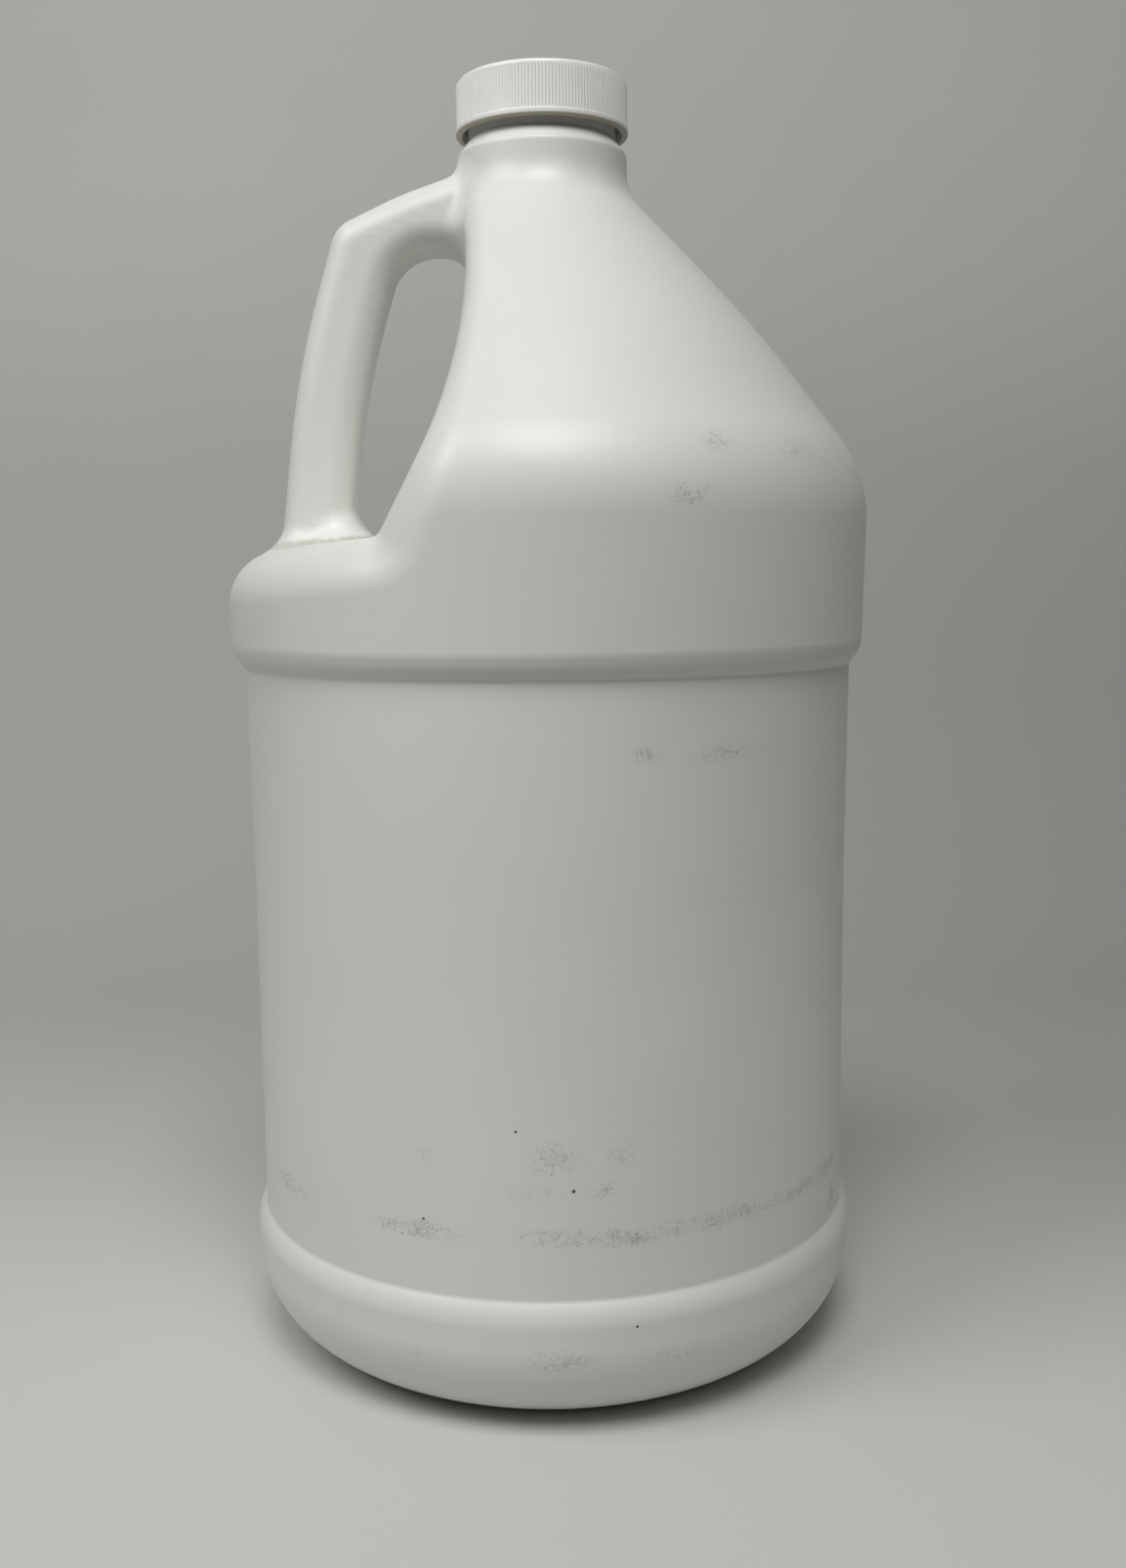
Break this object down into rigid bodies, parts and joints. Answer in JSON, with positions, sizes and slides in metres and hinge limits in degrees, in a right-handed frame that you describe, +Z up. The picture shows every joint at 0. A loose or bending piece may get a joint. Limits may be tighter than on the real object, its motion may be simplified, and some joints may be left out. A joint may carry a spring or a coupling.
{
  "type": "jug",
  "caption": "Round white plastic jug with a moulded-in side handle, raised label panel band and a ribbed screw cap with a liner, for shampoo and other liquids.",
  "frame": {"origin": "middle of the foot, on the ground", "axes": "+Z up along the body's axis; the handle is on the -X side, in the XZ plane, which is also the mould's parting plane"},
  "size_m": [0.1541, 0.1546, 0.3015],
  "materials": {
    "jug": "satin, fine orange peel",
    "cap": "semi-gloss",
    "cap_liner": "foam"
  },
  "bodies": {
    "jug": {"jug": "jug"},
    "liner": {"cap_liner": "cap_liner"},
    "cap": {"cap": "cap"}
  },
  "joints": [
    {"name": "cap_lift", "type": "slide", "parent": "jug", "child": "liner", "axis": [0, 0, 1], "range_m": [0, 0.01275]},
    {"name": "cap_turn", "type": "hinge", "parent": "liner", "child": "cap", "pos_m": [0, 0, 0.2953], "axis": [0, 0, 1], "range_deg": [0, 1080]}
  ],
  "couplings": [
    {"joint": "cap_lift", "follows": "cap_turn", "m_per_rad": 0.00067376}
  ]
}
